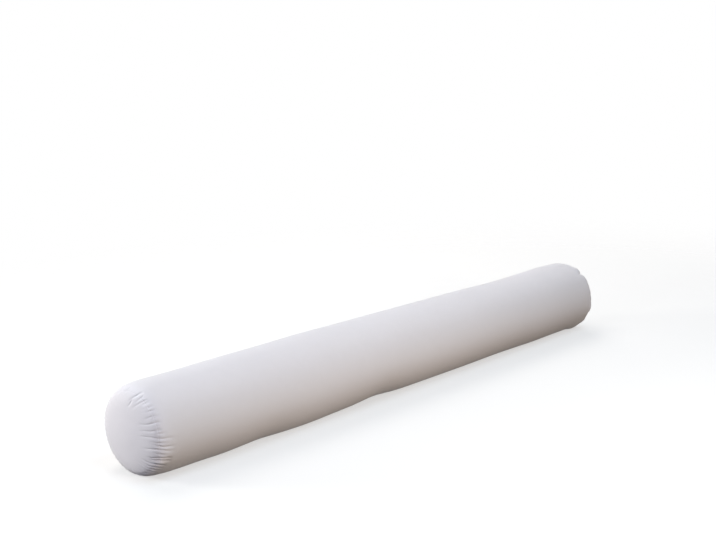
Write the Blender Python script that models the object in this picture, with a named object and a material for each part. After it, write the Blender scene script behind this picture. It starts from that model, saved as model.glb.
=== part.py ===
"""A body pillow: a long round bolster of soft cloth, lying on its side.

A tube of cloth is filled and closed by a round panel at each end. The tube is longer around than the panels, so it is
gathered onto them, and short puckers cross the two seams. Metres, +Z up, X along the pillow, the front at -Y. The origin
is on the floor under the pillow's middle.
"""

import math
import random

import bmesh
import bpy
import numpy as np

# ---------------------------------------------------------------- driving dimensions

LENGTH = 1.500  # without the domes of its two end panels
RADIUS = 0.090
SINK = 0.007  # how far the filling settles where the pillow rests
SPREAD = 1.012  # and how much wider that makes it
SETTLE_BLEND = 0.003  # height over which the flat strip rounds up into the side

SEAM_RADIUS = 0.078
GROOVE_DEPTH = 0.0014  # the seam is drawn in between the tube and the panel
GROOVE_REACH = 0.0035
PUFF_REACH = 0.022  # the cloth swells out between the gathers, this far from the seam
CLOTH = 0.0028  # thickness of an end panel, its thin padding included
GAP = 0.0003  # space between pieces that touch
RIM_GAP = 0.0012  # how far short of the seam a panel's rim stays
DOME = 0.006  # the filling pushes the middle of a panel out this far
DOME_RADIUS = 0.072

# Each end is a rounded nose: its length along the pillow, how square it is (2 would be an ellipse), and how far the
# cloth swells out at the seam.
NOSES = {
    "left": {"length": 0.110, "squareness": 5.9, "puff": 0.0008},
    "right": {"length": 0.044, "squareness": 4.5, "puff": 0.0},
}

# Loft: points around the pillow, and where its sections lie.
FINE_STEPS = 144  # around the gathered shoulders
PLAIN_STEPS = 48  # around the rest
SHOULDER_SECTIONS = (0.0, 0.003, 0.007, 0.012, 0.018, 0.025, 0.033, 0.043, 0.056)  # distance from the seam
RIM_SECTIONS = (-0.0006, -0.005, -0.011, -0.019, -0.030)  # the gathered rim of a panel, and the tube's seat under it
CENTRE_SECTIONS = (-0.040, -0.056)
MIDDLE_SECTIONS = 17

# Gathers of the left end that are set one by one: where each crosses the seam (degrees from the top towards the
# front), how far it runs onto the tube and onto the panel, its depth, and how it leans (degrees for each metre).
GATHER_COLUMNS = ("angle", "on_tube", "on_panel", "depth", "lean")
LEFT_GATHERS = (
    (-19, 0.018, 0.010, 0.0016, 100),
    (-7, 0.014, 0.010, 0.0010, 100),
    (5, 0.014, 0.012, 0.0012, 200),
    (15, 0.015, 0.016, 0.0020, 500),
    (28, 0.014, 0.022, 0.0020, 500),
    (36, 0.014, 0.012, 0.0016, 150),
    (47, 0.014, 0.013, 0.0018, 200),
    (55, 0.017, 0.015, 0.0018, 190),
    (63, 0.019, 0.034, 0.0028, 200),
    (74, 0.018, 0.034, 0.0024, 90),
    (85, 0.028, 0.032, 0.0028, 30),
    (95, 0.031, 0.024, 0.0026, 60),
    (102, 0.016, 0.026, 0.0022, -220),
    (115, 0.026, 0.015, 0.0034, -200),
    (126, 0.025, 0.012, 0.0024, -150),
    (132, 0.018, 0.017, 0.0020, -280),
    (140, 0.018, 0.016, 0.0020, -270),
    (150, 0.014, 0.012, 0.0016, -350),
)
# The same for the front of the right end, where deeper ones notch the outline.
RIGHT_GATHERS = (
    (12, 0.018, 0.012, 0.0014, 60),
    (22, 0.016, 0.010, 0.0012, 120),
    (35, 0.030, 0.016, 0.0046, 60),
    (46, 0.016, 0.014, 0.0012, 150),
    (57, 0.020, 0.018, 0.0016, 120),
    (68, 0.018, 0.020, 0.0014, 80),
    (80, 0.028, 0.026, 0.0028, 40),
    (92, 0.020, 0.022, 0.0018, 0),
    (103, 0.016, 0.018, 0.0012, -80),
    (115, 0.026, 0.020, 0.0026, -120),
    (126, 0.018, 0.014, 0.0012, -150),
    (137, 0.018, 0.014, 0.0014, -200),
    (147, 0.028, 0.016, 0.0026, -200),
)
HAND_SET = {"left": LEFT_GATHERS, "right": RIGHT_GATHERS}
GATHER_WIDTH = 0.0027  # half width of a pucker's valley
GATHER_SPACING = (8.0, 12.5)  # degrees between the other gathers
GATHER_SEEDS = {"left": 11, "right": 29}

# Soft lumps and hollows of the filling: place along the pillow, degrees from the top towards the front, half length,
# half width in degrees, and height.
LUMP_COLUMNS = ("x", "angle", "half_length", "half_width", "height")
LUMPS = (
    (-0.640, -30, 0.120, 75, -0.0020),
    (-0.270, -15, 0.090, 60, 0.0018),
    (-0.060, -15, 0.130, 65, 0.0010),
    (0.430, -20, 0.110, 65, -0.0021),
    (0.650, -25, 0.060, 50, 0.0016),
    (-0.560, 152, 0.045, 40, 0.0014),
    (-0.460, 150, 0.035, 38, -0.0013),
    (-0.335, 150, 0.085, 45, 0.0030),
    (-0.110, 152, 0.058, 42, -0.0048),
    (0.350, 150, 0.080, 45, -0.0008),
    (0.520, 150, 0.060, 45, 0.0010),
    (0.706, 150, 0.016, 16, 0.0038),
    (-0.500, -105, 0.100, 55, 0.0013),
    (-0.180, -120, 0.075, 45, -0.0030),
    (0.120, -100, 0.120, 60, 0.0013),
    (0.480, -125, 0.070, 45, -0.0024),
    (0.180, 80, 0.110, 50, 0.0012),
)

# ---------------------------------------------------------------- the pillow's surface


def rows(columns, table):
    return [dict(zip(columns, row)) for row in table]


def turn_between(a, b):
    """The angle from b to a, in degrees, between -180 and 180."""
    return (a - b + 180.0) % 360.0 - 180.0


class Nose:
    """One rounded end before it is puckered, measured along its surface from the seam."""

    def __init__(self, length, squareness, puff):
        self.puff = puff
        radius = np.concatenate([np.linspace(0.0, 0.9, 900), 1.0 - np.geomspace(0.099, 1e-6, 300)])
        depth = length * (1.0 - (1.0 - radius**squareness) ** (1.0 / squareness))
        self.radius = np.append(radius, 1.0) * RADIUS
        self.depth = np.append(depth, length)
        self.depth -= DOME * np.clip(1.0 - (self.radius / DOME_RADIUS) ** 2, 0.0, None) ** 2
        steps = np.hypot(np.diff(self.radius), np.diff(self.depth))
        self.along = np.concatenate([[0.0], np.cumsum(steps)])
        self.along -= np.interp(SEAM_RADIUS, self.radius, self.along)

    def point(self, along, under):
        """Depth from the nose's tip and radius, at a distance from the seam and this far under the surface."""
        step = 0.0005
        near, here, far = (
            np.array([np.interp(a, self.along, self.depth), np.interp(a, self.along, self.radius)])
            for a in (along - step, along, along + step)
        )
        run = (far - near) / max(np.linalg.norm(far - near), 1e-9)
        inward = np.array([run[1], -run[0]])
        return here + inward * under


def end_gathers(side):
    """Every gather of one end: the ones set by hand, and others spaced unevenly around the rest of the seam."""
    placed = rows(GATHER_COLUMNS, HAND_SET[side])
    dice = random.Random(GATHER_SEEDS[side])
    angle = placed[-1]["angle"]
    stop = placed[0]["angle"] + 360.0
    while True:
        angle += dice.uniform(*GATHER_SPACING)
        if angle > stop - GATHER_SPACING[0] / 2:
            break
        placed.append(
            {
                "angle": angle,
                "on_tube": dice.uniform(0.014, 0.030),
                "on_panel": dice.uniform(0.010, 0.030),
                "depth": dice.uniform(0.0009, 0.0019),
                "lean": 220.0 * math.sin(math.radians(2.0 * angle)) + dice.uniform(-80.0, 80.0),
            }
        )
    return placed


def pucker(gathers, along, angle):
    """How far the gathers draw the cloth in, at a distance from the seam and an angle around the pillow."""
    total = 0.0
    for gather in gathers:
        reach = gather["on_tube"] if along > 0 else gather["on_panel"]
        if abs(along) >= reach:
            continue
        centre = gather["angle"] + gather["lean"] * along
        across = math.radians(turn_between(angle, centre)) * SEAM_RADIUS / GATHER_WIDTH
        fade = math.cos(0.5 * math.pi * along / reach) ** 1.5
        total += gather["depth"] * fade * math.exp(-across * across)
    return total


def lump(x, angle):
    total = 0.0
    for row in rows(LUMP_COLUMNS, LUMPS):
        along = (x - row["x"]) / row["half_length"]
        around = turn_between(angle, row["angle"]) / row["half_width"]
        total += row["height"] * math.exp(-along * along - around * around)
    return total


def settled(height):
    """The filling gives way at the floor: flat where it would sink in, and rounded up into the side."""
    if height <= -SETTLE_BLEND:
        return 0.0
    if height < SETTLE_BLEND:
        return (height + SETTLE_BLEND) ** 2 / (4.0 * SETTLE_BLEND)
    return height


def place(x, radius, angle):
    """A point of the settled pillow, from its place along the axis, its radius and its angle."""
    radius *= 1.0 + lump(x, angle) / RADIUS
    turn = math.radians(angle)
    across = -radius * math.sin(turn) * SPREAD
    return (x, across, settled(RADIUS - SINK + radius * math.cos(turn)))


class End:
    """The cloth of one end, from the middle of its panel to where the tube is plain."""

    def __init__(self, side):
        self.nose = Nose(**NOSES[side])
        self.gathers = end_gathers(side)
        self.tip = -LENGTH / 2 if side == "left" else LENGTH / 2
        self.inward = 1.0 if side == "left" else -1.0

    def section(self, along, under=0.0, puckered=False):
        drawn = GROOVE_DEPTH * math.exp(-abs(along) / GROOVE_REACH)
        drawn -= self.nose.puff * math.exp(-((along / PUFF_REACH) ** 2))

        def point(angle):
            gathered = pucker(self.gathers, along, angle) if puckered else 0.0
            depth, radius = self.nose.point(along, drawn + under + gathered)
            return place(self.tip + self.inward * depth, radius, angle)

        return point

    def centre(self, under=0.0):
        return (self.tip + self.inward * (under - DOME), 0.0, RADIUS - SINK)


# ---------------------------------------------------------------- lofts


def add_section(bm, steps, point):
    """A closed loop of points around the pillow; gives back its edges."""
    made = bmesh.ops.create_circle(bm, segments=steps, radius=1.0)
    edges = {edge for vert in made["verts"] for edge in vert.link_edges}
    for vert in made["verts"]:
        vert.co = point(math.degrees(math.atan2(vert.co.x, vert.co.y)))
    return list(edges)


def close_centre(bm, edges, tip):
    """A fan of faces from a section to one point."""
    centre = bm.verts.new(tip)
    for edge in edges:
        bm.faces.new((*edge.verts, centre))


def loft(name, sections, first_tip, last_tip):
    """A closed solid through the sections, each a number of steps and a function of the angle."""
    bm = bmesh.new()
    loops = [add_section(bm, steps, point) for steps, point in sections]
    for one, other in zip(loops, loops[1:]):
        bmesh.ops.bridge_loops(bm, edges=one + other)
    close_centre(bm, loops[0], first_tip)
    close_centre(bm, loops[-1], last_tip)
    bmesh.ops.triangulate(bm, faces=bm.faces[:], quad_method="FIXED")
    bmesh.ops.recalc_face_normals(bm, faces=bm.faces[:])
    mesh = bpy.data.meshes.new(name)
    bm.to_mesh(mesh)
    bm.free()
    return mesh


def disc_sections(end, under, rim_gap=0.0):
    """Sections from a panel's rim to its centre, this far under its surface; the gathers run through all of them."""
    rim = [(FINE_STEPS, end.section(min(along, -rim_gap), under, puckered=True)) for along in RIM_SECTIONS]
    return rim + [(PLAIN_STEPS, end.section(along, under)) for along in CENTRE_SECTIONS]


def tube_mesh(left, right):
    """The filled tube, with a shallow seat for the panel in each end."""
    seat = CLOTH + GAP
    ends = []
    for end in (left, right):
        shoulder = [(FINE_STEPS, end.section(along, puckered=True)) for along in SHOULDER_SECTIONS]
        ends.append(disc_sections(end, seat)[::-1] + shoulder)
    start, stop = (
        end.tip + end.inward * end.nose.point(SHOULDER_SECTIONS[-1], 0.0)[0] for end in (left, right)
    )
    pitch = (stop - start) / (MIDDLE_SECTIONS + 1)

    def plain(x):
        def point(angle):
            return place(x, middle_radius(left, right, x), angle)

        return point

    middle = [(PLAIN_STEPS, plain(start + pitch * (k + 1))) for k in range(MIDDLE_SECTIONS)]
    sections = ends[0] + middle + ends[1][::-1]
    return loft("pillow_tube", sections, left.centre(seat), right.centre(seat))


def middle_radius(left, right, x):
    """The tube is full except where a long nose still narrows it."""
    full = RADIUS
    for end in (left, right):
        depth = abs(x - end.tip)
        full = min(full, float(np.interp(depth, end.nose.depth, end.nose.radius)))
    return full


def panel_mesh(name, end):
    """A round panel: a thin domed sheet of even thickness, puckered at its rim."""
    sections = disc_sections(end, CLOTH, RIM_GAP)[::-1] + disc_sections(end, 0.0, RIM_GAP)
    return loft(name, sections, end.centre(CLOTH), end.centre())


# ---------------------------------------------------------------- objects


def cloth_material(name, color):
    material = bpy.data.materials.new(name)
    material.use_nodes = True
    shader = material.node_tree.nodes["Principled BSDF"]
    shader.inputs["Base Color"].default_value = (*color, 1.0)
    shader.inputs["Roughness"].default_value = 0.85
    shader.inputs["Metallic"].default_value = 0.0
    return material


def add_piece(collection, mesh, material):
    mesh.materials.append(material)
    mesh.shade_smooth()
    mesh.set_sharp_from_angle(angle=math.radians(50))
    piece = bpy.data.objects.new(mesh.name, mesh)
    collection.objects.link(piece)
    return piece


def main():
    for old in list(bpy.data.objects):
        bpy.data.objects.remove(old, do_unlink=True)
    pillow = bpy.data.collections.new("body_pillow")
    bpy.context.scene.collection.children.link(pillow)

    left, right = End("left"), End("right")
    tube_cloth = cloth_material("tube_cloth", (0.80, 0.80, 0.82))
    panel_cloth = cloth_material("panel_cloth", (0.79, 0.79, 0.81))
    add_piece(pillow, tube_mesh(left, right), tube_cloth)
    add_piece(pillow, panel_mesh("end_panel_left", left), panel_cloth)
    add_piece(pillow, panel_mesh("end_panel_right", right), panel_cloth)


main()
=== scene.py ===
"""The looks of the body pillow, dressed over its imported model.

A long round bolster of fine pale cotton, lying on its side: a stuffed tube of cloth, gathered onto a round panel at
each end. Metres, +Z up, X along the pillow, the front at -Y.
"""

import math
import random

import bmesh
import bpy
import numpy as np
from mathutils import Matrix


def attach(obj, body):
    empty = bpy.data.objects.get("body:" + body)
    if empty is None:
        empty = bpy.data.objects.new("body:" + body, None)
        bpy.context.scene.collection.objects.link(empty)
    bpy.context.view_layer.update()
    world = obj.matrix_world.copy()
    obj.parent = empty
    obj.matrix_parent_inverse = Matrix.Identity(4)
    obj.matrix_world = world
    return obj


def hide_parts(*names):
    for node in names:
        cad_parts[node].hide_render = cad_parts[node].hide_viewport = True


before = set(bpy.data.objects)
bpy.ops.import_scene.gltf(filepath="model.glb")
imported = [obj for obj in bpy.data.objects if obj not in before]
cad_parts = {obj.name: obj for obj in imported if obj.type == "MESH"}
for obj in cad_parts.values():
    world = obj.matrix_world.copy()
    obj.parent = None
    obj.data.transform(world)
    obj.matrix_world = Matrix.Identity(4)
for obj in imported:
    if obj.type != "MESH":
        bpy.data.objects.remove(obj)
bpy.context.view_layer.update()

# ================================================================ the gathered ends
# The tube of cloth is longer around than the round panels, so it is gathered onto them. The thread draws the seam in,
# the filling pushes the cloth out between the gathers, and short puckers run across the seam onto both pieces.

LENGTH = 1.500  # without the domes of its two end panels
RADIUS = 0.090
SINK = 0.007  # how far the filling settles on the floor
SPREAD = 1.012  # and how much wider that makes the pillow
SETTLE_BLEND = 0.003  # height over which the flat strip underneath rounds up into the side
SEAM_RADIUS = 0.078
GROOVE_DEPTH = 0.0002  # the thread draws the cloth in along the seam
GROOVE_REACH = 0.0035
PUFF_REACH = 0.022  # the cloth swells out between the gathers, this far from the seam
DOME = 0.006  # the filling pushes the middle of a panel out this far
DOME_RADIUS = 0.072

# A rounded end: its length along the pillow, how square it is, and how far the cloth swells out at the seam.
NOSES = {
    "left": {"length": 0.110, "squareness": 5.9, "puff": 0.0008},
    "right": {"length": 0.044, "squareness": 4.5, "puff": 0.0},
}

# The larger folds: the depth of each, and its path as pairs of distance from the seam (on the panel below zero, on the
# tube above) in mm and degrees from the top towards the front.
LEFT_FOLDS = (
    (2.0, (-8, -23), (2, -20), (14, -17)),
    (1.6, (-8, -8), (2, -6), (12, -3)),
    (1.3, (-28, 7), (-20, 11), (-11, 12)),
    (1.8, (-17, 6), (-9, 11), (-2, 15), (13, 18)),
    (1.0, (-13, 20), (-5, 23), (6, 24)),
    (1.05, (-25, 19), (-12, 26), (0, 30), (9, 31)),
    (0.95, (-9, 32), (-3, 33.5), (11, 34.5)),
    (0.6, (-6, 40), (2, 41.5), (11, 42)),
    (0.6, (-10, 46), (2, 47), (14, 48.5)),
    (0.6, (-21, 52), (0, 55), (14, 57)),
    (1.0, (-43, 52), (-28, 58), (-20, 61.5), (-9, 63.3), (12, 64.7)),
    (0.8, (-47, 67.5), (-26, 71.5), (-12, 74), (8, 73.3)),
    (0.6, (-4, 79), (5, 79.5), (16, 78)),
    (1.05, (-50, 84), (-42, 82), (-27, 82), (-12, 83.3), (0, 84.8), (8, 85.8), (18, 85.4), (34, 88)),
    (0.7, (-20, 90), (-6, 91), (6, 91), (20, 92)),
    (1.3, (-14, 94), (2, 95.6), (12, 96), (34, 97)),
    (1.2, (-38, 110), (-19, 103), (-10, 100.8), (3, 99.8), (12, 101), (34, 103)),
    (0.9, (-14, 107), (4, 105.5), (18, 106.5)),
    (2.8, (-21, 120), (-10, 116), (-4, 113.0), (2, 111.3), (18, 111.0), (30, 113)),
    (2.8, (-16, 123), (-4, 117), (3, 115.2), (20, 115.2), (30, 118)),
    (-1.0, (-7, 122), (2, 119), (16, 118.4)),
    (2.0, (-30, 134.5), (-12, 128), (-4, 125), (2, 123.5), (12, 122.6), (21, 124)),
    (1.7, (-24, 139), (0, 130), (12, 129), (20, 130)),
    (1.3, (-34, 150), (-14, 142), (2, 136), (12, 135), (19, 136)),
    (1.2, (-22, 151.5), (2, 141.5), (15, 141)),
    (1.0, (-18, 157), (6, 148), (15, 147)),
)
RIGHT_FOLDS = (
    (1.0, (-12, 10), (0, 12), (18, 13)),
    (0.9, (-10, 20), (0, 22), (16, 25)),
    (3.0, (-16, 35.5), (0, 37), (30, 39)),
    (0.9, (-14, 44), (0, 46), (16, 49)),
    (1.1, (-18, 55), (0, 57), (20, 60)),
    (1.1, (-26, 66), (0, 68), (18, 70)),
    (1.9, (-38, 78), (-12, 79), (0, 80), (28, 82)),
    (1.2, (-28, 92), (0, 92), (20, 91)),
    (0.9, (-18, 105), (0, 103), (16, 101)),
    (1.9, (-34, 121), (-14, 118), (0, 115), (26, 112)),
    (0.9, (-14, 128), (0, 126), (18, 123)),
    (1.1, (-14, 140), (0, 137), (18, 134)),
    (2.4, (-16, 151), (0, 147), (28, 143)),
)
HAND_SET = {"left": LEFT_FOLDS, "right": RIGHT_FOLDS}

# The folds of the rest of each seam, and the small pleats at the stitches: between which values each measure lies.
# Spacing, lean and bend are in degrees, the rest in mm.
OTHER_FOLDS = {
    "spacing": (7.0, 11.5),
    "lean": (-3.0, 3.0),
    "on_panel": (8, 24),
    "on_tube": (12, 28),
    "bend": (-2.0, 2.0),
    "depth": (0.5, 1.0),
}
FINE_PLEATS = {
    "spacing": (2.6, 4.6),
    "lean": (-2.5, 2.5),
    "on_panel": (4, 11),
    "on_tube": (5, 13),
    "depth": (0.15, 0.45),
}
FAN = 6.0  # degrees by which the other folds spread from the top and the underside towards the sides
DICE_SEEDS = {"left": 11, "right": 29}
STEEP_SIDE = 0.0015  # a fold's upper wall hangs over it, and its lower wall is easy
EASY_SIDE = 0.0027
ROUNDING = (-4.0, -2.0, 0.0, 2.0, 4.0)  # mm over which the bends of a fold's path are rounded

# Soft lumps and hollows of the filling: place along the pillow, degrees from the top towards the front, half length,
# half width in degrees, and height.
LUMP_COLUMNS = ("x", "angle", "half_length", "half_width", "height")
LUMPS = (
    (-0.640, -30, 0.120, 75, -0.0020),
    (-0.270, -15, 0.090, 60, 0.0018),
    (-0.060, -15, 0.130, 65, 0.0010),
    (0.430, -20, 0.110, 65, -0.0021),
    (0.650, -25, 0.060, 50, 0.0016),
    (-0.560, 152, 0.045, 40, 0.0014),
    (-0.460, 150, 0.035, 38, -0.0013),
    (-0.335, 150, 0.085, 45, 0.0030),
    (-0.110, 152, 0.058, 42, -0.0048),
    (0.350, 150, 0.080, 45, -0.0008),
    (0.520, 150, 0.060, 45, 0.0010),
    (0.706, 150, 0.016, 16, 0.0038),
    (-0.736, 111, 0.024, 15, 0.0038),
    (0.736, 28, 0.014, 7, 0.0028),
    (0.736, 38, 0.012, 4, -0.0025),
    (0.736, 50, 0.014, 8, 0.0020),
    (0.736, 105, 0.014, 9, 0.0032),
    (0.736, 131, 0.014, 8, 0.0030),
    (-0.500, -105, 0.100, 55, 0.0013),
    (-0.180, -120, 0.075, 45, -0.0030),
    (0.120, -100, 0.120, 60, 0.0013),
    (0.480, -125, 0.070, 45, -0.0024),
    (0.180, 80, 0.110, 50, 0.0012),
)


def rows(columns, table):
    return [dict(zip(columns, row)) for row in table]


def turn_between(a, b):
    """The angle from b to a, in degrees, between -180 and 180."""
    return (a - b + 180.0) % 360.0 - 180.0


class Nose:
    """One rounded end before it is puckered, measured along its surface from the seam."""

    def __init__(self, length, squareness, puff):
        self.puff = puff
        # Closer together where the end turns steeply into the tube.
        radius = np.concatenate([np.linspace(0.0, 0.9, 900), 1.0 - np.geomspace(0.099, 1e-6, 300)])
        depth = length * (1.0 - (1.0 - radius**squareness) ** (1.0 / squareness))
        self.radius = np.append(radius, 1.0) * RADIUS
        self.depth = np.append(depth, length)
        self.depth -= DOME * np.clip(1.0 - (self.radius / DOME_RADIUS) ** 2, 0.0, None) ** 2
        steps = np.hypot(np.diff(self.radius), np.diff(self.depth))
        self.along = np.concatenate([[0.0], np.cumsum(steps)])
        self.along -= np.interp(SEAM_RADIUS, self.radius, self.along)

    def at(self, along):
        """Depth from the nose's tip and radius, at a distance from the seam."""
        past = np.maximum(along - self.along[-1], 0.0)  # on the straight tube
        return np.array([np.interp(along, self.along, self.depth) + past, np.interp(along, self.along, self.radius)])

    def point(self, along, under):
        """The same, this far under the surface."""
        step = 0.0005
        run = self.at(along + step) - self.at(along - step)
        run /= np.maximum(np.linalg.norm(run, axis=0), 1e-9)
        return self.at(along) + np.array([run[1], -run[0]]) * under


def thrown(dice, ranges, *names):
    """One chance value from each of the named ranges, in this order."""
    return [dice.uniform(*ranges[name]) for name in names]


def end_folds(side):
    """Every larger fold of one end: the ones listed, and others spaced unevenly around the rest of the seam."""
    folds = [(depth, path) for depth, *path in HAND_SET[side]]
    dice = random.Random(DICE_SEEDS[side])
    angle = np.interp(0.0, *np.transpose(folds[-1][1]))
    stop = np.interp(0.0, *np.transpose(folds[0][1])) + 360.0
    while True:
        angle += dice.uniform(*OTHER_FOLDS["spacing"])
        if angle > stop - OTHER_FOLDS["spacing"][0] / 2:
            return folds
        lean = FAN * math.sin(math.radians(2.0 * angle)) + dice.uniform(*OTHER_FOLDS["lean"])
        on_panel, on_tube, bend, depth = thrown(dice, OTHER_FOLDS, "on_panel", "on_tube", "bend", "depth")
        path = [(-on_panel, angle - lean), (-on_panel / 2, angle - lean / 2 + bend)]
        path += [(0, angle), (on_tube, angle + lean / 2)]
        folds.append((depth, path))


def fine_pleats(side):
    """Small pleats close to the stitches, between the larger folds."""
    dice = random.Random(DICE_SEEDS[side] + 100)
    pleats, angle = [], 0.0
    while angle < 360.0 - FINE_PLEATS["spacing"][0]:
        lean, on_panel, on_tube, depth = thrown(dice, FINE_PLEATS, "lean", "on_panel", "on_tube", "depth")
        pleats.append((depth, [(-on_panel, angle - lean), (0, angle), (on_tube, angle + lean)]))
        angle += dice.uniform(*FINE_PLEATS["spacing"])
    return pleats


def pucker(folds, along, angle, scale):
    """How far folds draw the cloth in, on a grid of distances from the seam and angles around the pillow."""
    total = np.zeros(np.broadcast(along, angle).shape)
    for depth, path in folds:
        mm, degrees = np.transpose(np.array(path, dtype=float))
        here = along * 1000.0
        centre = sum(np.interp(here + shift, mm, degrees) for shift in ROUNDING) / len(ROUNDING)
        deepest = min(max(2.0, (mm[0] + mm[-1]) / 2.0), mm[-1] - 4.0)  # on the tube, close to the stitches
        end = np.where(here < deepest, mm[0], mm[-1])
        run_out = np.clip((here - deepest) / (end - deepest), 0.0, 1.0)  # 1 at the fold's end
        across = np.radians(turn_between(angle, centre)) * SEAM_RADIUS
        across *= np.sign(np.sin(np.radians(centre)) + 1e-9)  # positive towards the floor
        width = np.where(across < 0, STEEP_SIDE, EASY_SIDE) * scale * (0.85 + 0.6 * run_out)
        total += 0.001 * depth * (1.0 - run_out**2) ** 1.5 * np.exp(-np.abs(across / width) ** 1.7)
    return total


def lump(x, angle):
    """How far the lumps of the filling raise the surface."""
    total = 0.0
    for row in rows(LUMP_COLUMNS, LUMPS):
        along = (x - row["x"]) / row["half_length"]
        around = turn_between(angle, row["angle"]) / row["half_width"]
        total = total + row["height"] * np.exp(-(along**2) - around**2)
    return total


def settled(height):
    """The filling gives way at the floor: flat where it would sink in, and rounded up into the side."""
    rounded = (np.maximum(height, -SETTLE_BLEND) + SETTLE_BLEND) ** 2 / (4.0 * SETTLE_BLEND)
    return np.where(height < SETTLE_BLEND, rounded, height)


def place(x, radius, angle):
    """Points of the settled pillow, from their place along the axis, their radius and their angle."""
    radius = radius * (1.0 + lump(x, angle) / RADIUS)
    turn = np.radians(angle)
    height = settled(RADIUS - SINK + radius * np.cos(turn))
    return np.stack(np.broadcast_arrays(x, -radius * np.sin(turn) * SPREAD, height), axis=-1)


PANEL_THICKNESS = 0.0028  # with its thin padding
SEAM_COLUMNS = 504  # points around the pillow at its gathers
PANEL_ROWS = -np.append(np.arange(0.0016, 0.040, 0.0012), np.arange(0.042, 0.052, 0.0025))
SHOULDER_STEPS = ((0.0016, 0.034, 0.0012), (0.035, 0.060, 0.0025), (0.064, 0.12, 0.008))  # first, last and step
SHOULDER_ROWS = np.concatenate([np.arange(*steps) for steps in SHOULDER_STEPS])
CLOTH_ROWS = np.concatenate([PANEL_ROWS[::-1], [0.0], SHOULDER_ROWS])
STUFFING_FRAMES = 20
SWELLING_CAP = 0.005
SWELLING_REACH = (-0.052, -0.030, 0.055, 0.100)  # nothing swells past the outer two distances from the seam


class End:
    """The cloth of one end, from the middle of its panel to where the tube is plain."""

    def __init__(self, side):
        self.nose = Nose(**NOSES[side])
        self.folds = end_folds(side)
        self.pleats = fine_pleats(side)
        self.tip = -LENGTH / 2 if side == "left" else LENGTH / 2
        self.inward = 1.0 if side == "left" else -1.0
        self.swelling = None

    def grid(self, along, angle, under=0.0):
        """Points at distances from the seam (rows) and angles around the pillow (columns)."""
        along = np.asarray(along, dtype=float)[:, None]
        angle = np.asarray(angle, dtype=float)[None, :]
        drawn = GROOVE_DEPTH * np.exp(-np.abs(along) / GROOVE_REACH)
        drawn = drawn - self.nose.puff * np.exp(-((along / PUFF_REACH) ** 2))
        drawn = drawn + pucker(self.folds, along, angle, 1.0) + pucker(self.pleats, along, angle, 0.5)
        surface = self.nose.point(along, 0.0)
        inwards = self.nose.point(along, 1.0) - surface
        x = self.tip + self.inward * (surface[0] + inwards[0] * (drawn + under))
        points = place(x, surface[1] + inwards[1] * (drawn + under), angle)
        if self.swelling is not None and angle.shape[1] == SEAM_COLUMNS and under < PANEL_THICKNESS:
            points += self.swollen_by(along[:, 0])
            points[..., 2] = np.maximum(points[..., 2], 0.0)
        return points

    def swollen_by(self, along):
        """The swelling at distances from the seam, between the rows of the stuffed cloth."""
        row = np.interp(along, CLOTH_ROWS, np.arange(len(CLOTH_ROWS)))
        low = np.minimum(row.astype(int), len(CLOTH_ROWS) - 2)
        share = (row - low)[:, None, None]
        return self.swelling[low] * (1.0 - share) + self.swelling[low + 1] * share

    def stuff(self):
        """Let the filling swell the gathered cloth of this end, held at its seam and far from it."""
        around = np.arange(SEAM_COLUMNS) * 360.0 / SEAM_COLUMNS
        laid = self.grid(CLOTH_ROWS, around)
        shape = laid.shape[:2]
        here = np.arange(shape[0] * shape[1]).reshape(shape)
        after = np.roll(here, -1, axis=1)
        faces = np.stack([here[:-1], after[:-1], after[1:], here[1:]], axis=-1).reshape(-1, 4)
        if self.inward < 0:
            faces = faces[:, ::-1]
        mesh = bpy.data.meshes.new("stuffed_cloth")
        mesh.from_pydata(laid.reshape(-1, 3).tolist(), [], faces.tolist())
        cloth = bpy.data.objects.new("stuffed_cloth", mesh)
        bpy.context.scene.collection.objects.link(cloth)
        seam = int(np.argmin(np.abs(CLOTH_ROWS)))
        held = cloth.vertex_groups.new(name="held")
        held.add(here[[0, 1, seam, -2, -1]].ravel().tolist(), 1.0, "REPLACE")
        pressing = cloth.modifiers.new("filling", "CLOTH")
        make = pressing.settings
        make.quality = 4
        make.mass = 0.002
        make.tension_stiffness = make.compression_stiffness = 15.0
        make.shear_stiffness = 5.0
        make.bending_stiffness = 0.01
        make.tension_damping = make.compression_damping = make.shear_damping = 0.5
        make.bending_damping = 0.1
        make.effector_weights.gravity = 0.0
        make.use_pressure = True
        make.uniform_pressure_force = 8.0
        make.vertex_group_mass = "held"
        pressing.collision_settings.use_collision = False
        pressing.point_cache.frame_start = 1
        pressing.point_cache.frame_end = STUFFING_FRAMES
        for frame_number in range(1, STUFFING_FRAMES + 1):
            bpy.context.scene.frame_set(frame_number)
        swollen = cloth.evaluated_get(bpy.context.evaluated_depsgraph_get()).to_mesh()
        points = np.empty(here.size * 3)
        swollen.vertices.foreach_get("co", points)
        moved = points.reshape(*shape, 3) - laid
        far = np.linalg.norm(moved, axis=-1, keepdims=True)
        moved *= np.minimum(1.0, SWELLING_CAP / np.maximum(far, 1e-9))
        fade = np.interp(CLOTH_ROWS, SWELLING_REACH, (0.0, 1.0, 1.0, 0.0))
        self.swelling = moved * (fade**2 * (3.0 - 2.0 * fade))[:, None, None]
        bpy.data.objects.remove(cloth)
        bpy.data.meshes.remove(mesh)
        bpy.context.scene.frame_set(1)

    def centre(self, under=0.0):
        """The middle of the panel, this far under its surface."""
        return (self.tip + self.inward * (under - DOME), 0.0, RADIUS - SINK)


left_end, right_end = End("left"), End("right")
left_end.stuff()
right_end.stuff()

# ================================================================ the filled tube
# A rectangle of cloth rolled to a tube and stuffed tight: full and smooth between its ends, with the soft lumps of its
# filling, and flat where it rests. One closed mesh, with a shallow seat for the panel in each end.

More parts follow.
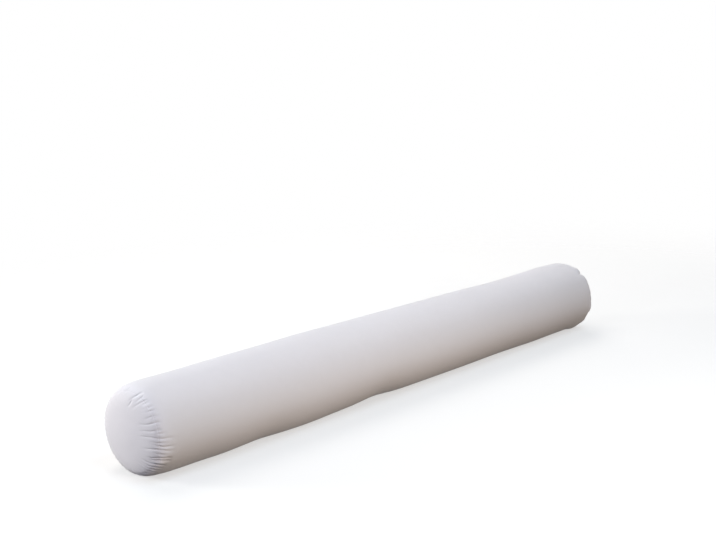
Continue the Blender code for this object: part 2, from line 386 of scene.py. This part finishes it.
GAP = 0.0003  # between the seat and the panel that lies in it
SEAT_COLUMNS = 144  # points around the pillow in the middle of the seat
SEAT_MIDDLE_ROWS = (-0.056, -0.040)
SEAT_RIM_ROWS = (-0.030, -0.019, -0.011, -0.005, -0.0015)
LIP = ((0.0004, 0.0), (0.0002, 0.00003), (0.00008, 0.00009), (0.00002, 0.0002))  # the cloth turns in at the seam
MIDDLE_COLUMNS = 192  # points around the pillow between its two shoulders
MIDDLE_PITCH = 0.012


def angles(count):
    """Even steps around the pillow."""
    return np.arange(count) * 360.0 / count


class Skin:
    """A mesh grown from closed rows of points around the pillow, each with its place on the flat cloth."""

    def __init__(self):
        self.points, self.flat, self.loops, self.faces = [], [], [], []
        self.count = 0

    def add_row(self, points, around, along):
        """One closed row; around is each point's angle, and along its distance along the cloth."""
        first = self.count
        self.points.append(np.asarray(points))
        self.flat.append(np.stack(np.broadcast_arrays(np.asarray(around) / 360.0, along), axis=-1))
        self.count += len(points)
        self.loops.append((first, np.asarray(around)))

    def join_rows(self):
        """Faces between each row and the next: squares where both have as many points, triangles elsewhere."""
        for (one, a), (other, b) in zip(self.loops, self.loops[1:]):
            n, m = len(a), len(b)
            if n == m:
                k = np.arange(n)
                after = (k + 1) % n
                quads = np.stack([one + k, one + after, other + after, other + k], axis=1)
                self.faces.extend(quads.tolist())
                continue
            i = j = 0
            while i < n or j < m:
                ahead_a = a[i + 1] if i + 1 < n else 360.0
                ahead_b = b[j + 1] if j + 1 < m else 360.0
                if j >= m or (i < n and ahead_a <= ahead_b):
                    self.faces.append([one + i % n, one + (i + 1) % n, other + j % m])
                    i += 1
                else:
                    self.faces.append([one + i % n, other + (j + 1) % m, other + j % m])
                    j += 1

    def close(self, tip, last):
        """A fan from one point to the last row, or to the first."""
        self.points.append(np.asarray([tip]))
        self.flat.append(np.zeros((1, 2)))
        self.count += 1
        first, around = self.loops[-1 if last else 0]
        n = len(around)
        for k in range(n):
            face = [first + k, first + (k + 1) % n, self.count - 1]
            self.faces.append(face if last else face[::-1])

    def piece(self, name):
        """The finished piece, with its flat cloth as its UV map."""
        points = np.concatenate(self.points)
        mesh = bpy.data.meshes.new(name)
        mesh.from_pydata(points.tolist(), [], self.faces)
        flat = np.concatenate(self.flat)
        layer = mesh.uv_layers.new(name="cloth")
        corner = np.array([loop.vertex_index for loop in mesh.loops])
        uv = flat[corner]
        start = 0
        for polygon in mesh.polygons:  # a face across the join goes on past the full turn
            span = slice(start, start + polygon.loop_total)
            if uv[span, 0].max() - uv[span, 0].min() > 0.5:
                uv[span, 0] += np.where(uv[span, 0] < 0.5, 1.0, 0.0)
            start += polygon.loop_total
        layer.data.foreach_set("uv", uv.ravel())
        shape = bmesh.new()
        shape.from_mesh(mesh)
        bmesh.ops.recalc_face_normals(shape, faces=shape.faces[:])
        shape.to_mesh(mesh)
        shape.free()
        mesh.shade_smooth()
        made = bpy.data.objects.new(name, mesh)
        bpy.context.scene.collection.objects.link(made)
        return made


def add_end_rows(skin, end, reverse):
    """The tube's rows at one end: the seat under the panel, the lip at the seam, and the gathered shoulder."""
    seat = PANEL_THICKNESS + GAP
    fine, plain = angles(SEAM_COLUMNS), angles(SEAT_COLUMNS)
    laid = [(along, plain, seat) for along in SEAT_MIDDLE_ROWS]
    laid += [(along, fine, seat) for along in SEAT_RIM_ROWS]
    laid += [(along, fine, under) for along, under in LIP[::-1]]
    laid += [(along, fine, 0.0) for along in SHOULDER_ROWS]
    for along, around, under in laid[::-1] if reverse else laid:
        points = end.grid([along], around, under)[0]
        skin.add_row(points, around, end.inward * (end.nose.at(0.0)[0] + along) + end.tip)


tube_skin = Skin()
ends = (left_end, right_end)
add_end_rows(tube_skin, left_end, reverse=False)
start, stop = (end.tip + end.inward * float(end.nose.at(SHOULDER_ROWS[-1])[0]) for end in ends)
steps = round((stop - start) / MIDDLE_PITCH)
for k in range(1, steps):
    x = start + (stop - start) * k / steps
    full = min(float(np.interp(abs(x - end.tip), end.nose.depth, end.nose.radius)) for end in ends)
    around = angles(MIDDLE_COLUMNS)
    tube_skin.add_row(place(x, full, around), around, x)
add_end_rows(tube_skin, right_end, reverse=True)
tube_skin.join_rows()
tube_skin.close(left_end.centre(PANEL_THICKNESS + GAP), last=False)
tube_skin.close(right_end.centre(PANEL_THICKNESS + GAP), last=True)
tube = tube_skin.piece("tube")
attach(tube, "root")
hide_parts("pillow_tube")


class Finish:
    """One socket of a finish, so that its maths can be written as Python expressions."""

    tree = None

    def __init__(self, socket):
        self.socket = socket

    @classmethod
    def node(cls, kind, settings=None, **sockets):
        """A node of this type: its settings first, then its sockets by name, or by number as i0, i1 and so on."""
        made = cls.tree.nodes.new(kind)
        for name, value in (settings or {}).items():
            setattr(made, name, value)
        for name, value in sockets.items():
            target = made.inputs[int(name[1:])] if name[1:].isdigit() else made.inputs[name.replace("_", " ")]
            if isinstance(value, Finish):
                cls.tree.links.new(value.socket, target)
            else:
                target.default_value = value
        return made

    def math(self, operation, *others, first=None):
        values = [first if first is not None else self, *others]
        made = self.node("ShaderNodeMath", {"operation": operation}, **{f"i{k}": v for k, v in enumerate(values)})
        return Finish(made.outputs[0])

    def __add__(self, other):
        return self.math("ADD", other)

    __radd__ = __add__

    def __mul__(self, other):
        return self.math("MULTIPLY", other)

    __rmul__ = __mul__

    def __sub__(self, other):
        return self.math("SUBTRACT", other)

    def __rsub__(self, other):
        return self.math("SUBTRACT", self, first=other)

    def sine(self):
        return self.math("SINE")


# The cloth's colour and a darker tone of it, mixed partly at random and partly as painted shade in the crumple's
# hollows.
COTTON = (0.807, 0.782, 0.811)
COTTON_SHADE = (0.751, 0.728, 0.758)
THREAD_PITCH = 0.0009
SLUB_SCALE, CRUMPLE_SCALE, CLOUD_SCALE = 900.0, 46.0, 9.0  # thick threads, crumpled cloth and uneven tone, per metre
ROUGHNESS = 0.84


def fine_cotton(name):
    """Closely woven cotton: a soft sheen, threads that show only from close by, faint unevenness of tone and surface,
    and painted shade in the hollows of its crumples.
    """
    material = bpy.data.materials.new(name)
    material.use_nodes = True
    Finish.tree = tree = material.node_tree
    shader = tree.nodes["Principled BSDF"]
    shader.inputs["Sheen Weight"].default_value = 0.08
    shader.inputs["Sheen Roughness"].default_value = 0.6
    shader.inputs["Specular IOR Level"].default_value = 0.25
    flat = Finish(Finish.node("ShaderNodeTexCoord").outputs["UV"])
    at = Finish(Finish.node("ShaderNodeTexCoord").outputs["Object"])
    split = Finish.node("ShaderNodeSeparateXYZ", Vector=flat)
    warp, weft = Finish(split.outputs["X"]), Finish(split.outputs["Y"])
    around = 2.0 * math.pi * RADIUS
    threads = 2.0 * math.pi / THREAD_PITCH
    weave = (warp * (around * threads)).sine() * (weft * threads).sine()
    slub, cloud, crumple = (
        Finish(Finish.node("ShaderNodeTexNoise", Vector=at, Scale=scale, Detail=detail).outputs["Fac"])
        for scale, detail in ((SLUB_SCALE, 2.0), (CLOUD_SCALE, 3.0), (CRUMPLE_SCALE, 3.0))
    )
    # Uneven tone from the cloud and slub noise. The crumple share darkens the hollows of the crumple bump below, which
    # is painted shade.
    tone_and_crumple_shade = 0.5 + (cloud - 0.5) * 0.5 + (slub - 0.5) * 0.35 + (crumple - 0.5) * 0.35
    mix = Finish.node("ShaderNodeMix", {"data_type": "RGBA"}, Factor=tone_and_crumple_shade)
    for socket in mix.inputs:
        if socket.type == "RGBA":
            socket.default_value = (*COTTON_SHADE, 1.0) if socket.name == "A" else (*COTTON, 1.0)
    colour = next(socket for socket in mix.outputs if socket.type == "RGBA")
    tree.links.new(colour, shader.inputs["Base Color"])
    tree.links.new((ROUGHNESS + (slub - 0.5) * 0.12).socket, shader.inputs["Roughness"])
    relief = weave * 0.3 + slub * 0.5 + crumple * 4.0
    bump = Finish.node("ShaderNodeBump", Strength=0.6, Distance=0.0001, Height=relief)
    tree.links.new(bump.outputs["Normal"], shader.inputs["Normal"])
    return material


tube_cloth = fine_cotton("tube_cotton")
tube.data.materials.append(tube_cloth)

# ================================================================ the two end panels
# A round piece of the same cloth at each end, its rim turned in and stitched to the gathered tube. The filling domes it
# slightly, and the gathers of the tube run on across its rim.

# Rows of the panel, from the middle of its inner side over its rim to the middle of its outer side.
INNER_MIDDLE = ((-0.068, 36), (-0.056, SEAT_COLUMNS))  # distance from the seam, and points around
INNER_RIM = (-0.040, -0.030, -0.019, -0.011, -0.005, -0.0022)
PANEL_LIP = ((-0.0004, 0.0), (-0.0002, 0.00003), (-0.00008, 0.00009), (-0.00002, 0.0002))
OUTER_MIDDLE = ((-0.0535, 288), (-0.056, SEAT_COLUMNS), (-0.062, 72), (-0.070, 36))


def end_panel(name, end):
    fine = angles(SEAM_COLUMNS)
    laid = [(along, angles(columns), PANEL_THICKNESS) for along, columns in INNER_MIDDLE]
    laid += [(along, fine, PANEL_THICKNESS) for along in INNER_RIM]
    laid += [(along, fine, under) for along, under in PANEL_LIP[::-1]]
    laid += [(along, fine, 0.0) for along in PANEL_ROWS]
    laid += [(along, angles(columns), 0.0) for along, columns in OUTER_MIDDLE]
    skin = Skin()
    for along, around, under in laid:
        skin.add_row(end.grid([along], around, under)[0], around, along)
    skin.join_rows()
    skin.close(end.centre(PANEL_THICKNESS), last=False)
    skin.close(end.centre(), last=True)
    panel = skin.piece(name)
    # A panel is cut from flat cloth, so its weave runs straight across it.
    flat = panel.data.uv_layers["cloth"]
    corner = np.array([loop.vertex_index for loop in panel.data.loops])
    points = np.concatenate(skin.points)[corner]
    flat.data.foreach_set("uv", np.stack([points[:, 1] / (2 * math.pi * RADIUS), points[:, 2]], axis=1).ravel())
    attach(panel, "root")
    return panel


panel_cloth = fine_cotton("panel_cotton")
left_panel = end_panel("left_panel", left_end)
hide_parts("end_panel_left")
right_panel = end_panel("right_panel", right_end)
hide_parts("end_panel_right")
for panel in (left_panel, right_panel):
    panel.data.materials.append(panel_cloth)

# ================================================================ floor, light and camera
# A plain white floor that fades into a white room. Soft lamps stand all round the pillow, the strongest behind its left
# end and a warm one low in front of it.

FLOOR_RADIUS = 12.0
FADE_OVAL = (1.5, 1.1, 1.0)  # the floor fades out in an oval of this shape
FADE_FROM, FADE_TO = 0.6, 1.9  # where the fade starts and ends, in ovals

bpy.ops.object.select_all(action="DESELECT")
bpy.ops.mesh.primitive_circle_add(vertices=96, radius=FLOOR_RADIUS, fill_type="NGON")
floor = bpy.context.object
floor.name = "floor"
floor.visible_diffuse = False  # so that its white throws no light up onto the pillow's underside
floor_paint = bpy.data.materials.new("floor_paint")
floor_paint.use_nodes = True
Finish.tree = paint = floor_paint.node_tree
floor_shader = paint.nodes["Principled BSDF"]
floor_shader.inputs["Base Color"].default_value = (0.45, 0.45, 0.45, 1.0)
floor_shader.inputs["Emission Color"].default_value = (1.0, 1.0, 1.0, 1.0)
floor_shader.inputs["Emission Strength"].default_value = 0.55
floor_shader.inputs["Roughness"].default_value = 0.9
spot = Finish(Finish.node("ShaderNodeTexCoord").outputs["Object"])
in_ovals = tuple(1.0 / side for side in FADE_OVAL)
spot = Finish(Finish.node("ShaderNodeMapping", Vector=spot, Scale=in_ovals).outputs["Vector"])
reach = Finish(Finish.node("ShaderNodeVectorMath", {"operation": "LENGTH"}, i0=spot).outputs["Value"])
limits = {"Value": reach, "From_Min": FADE_FROM, "From_Max": FADE_TO}
fade = Finish(Finish.node("ShaderNodeMapRange", {"interpolation_type": "SMOOTHERSTEP"}, **limits).outputs["Result"])
paper = Finish(floor_shader.outputs["BSDF"])
clear = Finish(Finish.node("ShaderNodeBsdfTransparent").outputs["BSDF"])
blend = Finish.node("ShaderNodeMixShader", i0=fade, i1=paper, i2=clear)
paint.links.new(blend.outputs["Shader"], paint.nodes["Material Output"].inputs["Surface"])
floor.data.materials.append(floor_paint)

world = bpy.data.worlds.new("room")
bpy.context.scene.world = world
world.use_nodes = True
Finish.tree = room = world.node_tree
dim = room.nodes["Background"]
dim.inputs["Color"].default_value = (1.0, 0.9, 0.88, 1.0)
dim.inputs["Strength"].default_value = 0.03
dim = Finish(dim.outputs["Background"])
bright = Finish(Finish.node("ShaderNodeBackground", Color=(1.0, 1.0, 1.0, 1.0), Strength=1.0).outputs["Background"])
seen = Finish(Finish.node("ShaderNodeLightPath").outputs["Is Camera Ray"])
walls = Finish.node("ShaderNodeMixShader", i0=seen, i1=dim, i2=bright)
room.links.new(walls.outputs["Shader"], room.nodes["World Output"].inputs["Surface"])


def soft_lamp(name, stand, aim, size, power, colour):
    bpy.ops.object.light_add(type="AREA", location=stand)
    lamp = bpy.context.object
    lamp.name = name
    lamp.data.shape = "DISK"
    lamp.data.size = size
    lamp.data.energy = power
    lamp.data.color = colour
    lamp.visible_camera = False
    direction = [b - a for a, b in zip(stand, aim)]
    level = math.hypot(direction[0], direction[1])
    lamp.rotation_euler = (math.atan2(level, -direction[2]), 0.0, math.atan2(-direction[0], direction[1]))


LAMP_TARGET = (0.0, 0.0, 0.1)  # the middle of the pillow

# Each lamp: where it stands around the pillow (degrees from the front towards the left), its height in degrees, its
# distance, its size, its power and its colour.
for name, turn, height, away, size, power, colour in (
    ("front_low_lamp", 7, 12, 1.9, 0.6, 15.0, (1.16, 1.0, 0.83)),
    ("front_left_lamp", 45, 12, 3.2, 1.0, 4.6, (1.0, 1.0, 1.0)),
    ("left_lamp", 90, 12, 3.2, 1.0, 15.2, (1.0, 1.0, 1.16)),
    ("high_left_lamp", 90, 35, 3.2, 2.0, 12.0, (0.94, 1.0, 1.11)),
    ("back_left_lamp", 135, 12, 3.2, 1.0, 61.5, (1.0, 1.0, 0.94)),
    ("back_right_lamp", 225, 35, 3.2, 2.0, 27.5, (1.07, 1.0, 0.95)),
    ("right_lamp", 270, 20, 3.2, 2.0, 8.0, (1.0, 1.0, 1.0)),
    ("front_high_lamp", 0, 62, 3.2, 2.0, 32.4, (0.76, 1.0, 1.23)),
    ("back_high_lamp", 180, 62, 3.2, 2.0, 34.0, (1.06, 1.0, 0.92)),
):
    turn, height = math.radians(turn), math.radians(height)
    stand = (
        -math.sin(turn) * math.cos(height) * away,
        -math.cos(turn) * math.cos(height) * away,
        LAMP_TARGET[2] + math.sin(height) * away,
    )
    soft_lamp(name, stand, LAMP_TARGET, size, power, colour)

# The camera stands in front of the pillow's left end and looks a little down along it.
camera_data = bpy.data.cameras.new("camera")
camera = bpy.data.objects.new("camera", camera_data)
bpy.context.scene.collection.objects.link(camera)
camera_data.sensor_fit = "HORIZONTAL"
camera_data.sensor_width = 36.0
camera_data.lens = 58.15
camera_data.clip_end = 100.0
camera.location = (-1.9647, -1.6275, 0.7986)
camera.rotation_euler = (math.radians(90.0 - 11.75), 0.0, math.radians(-48.61))
bpy.context.scene.camera = camera
bpy.context.scene.view_settings.view_transform = "Standard"
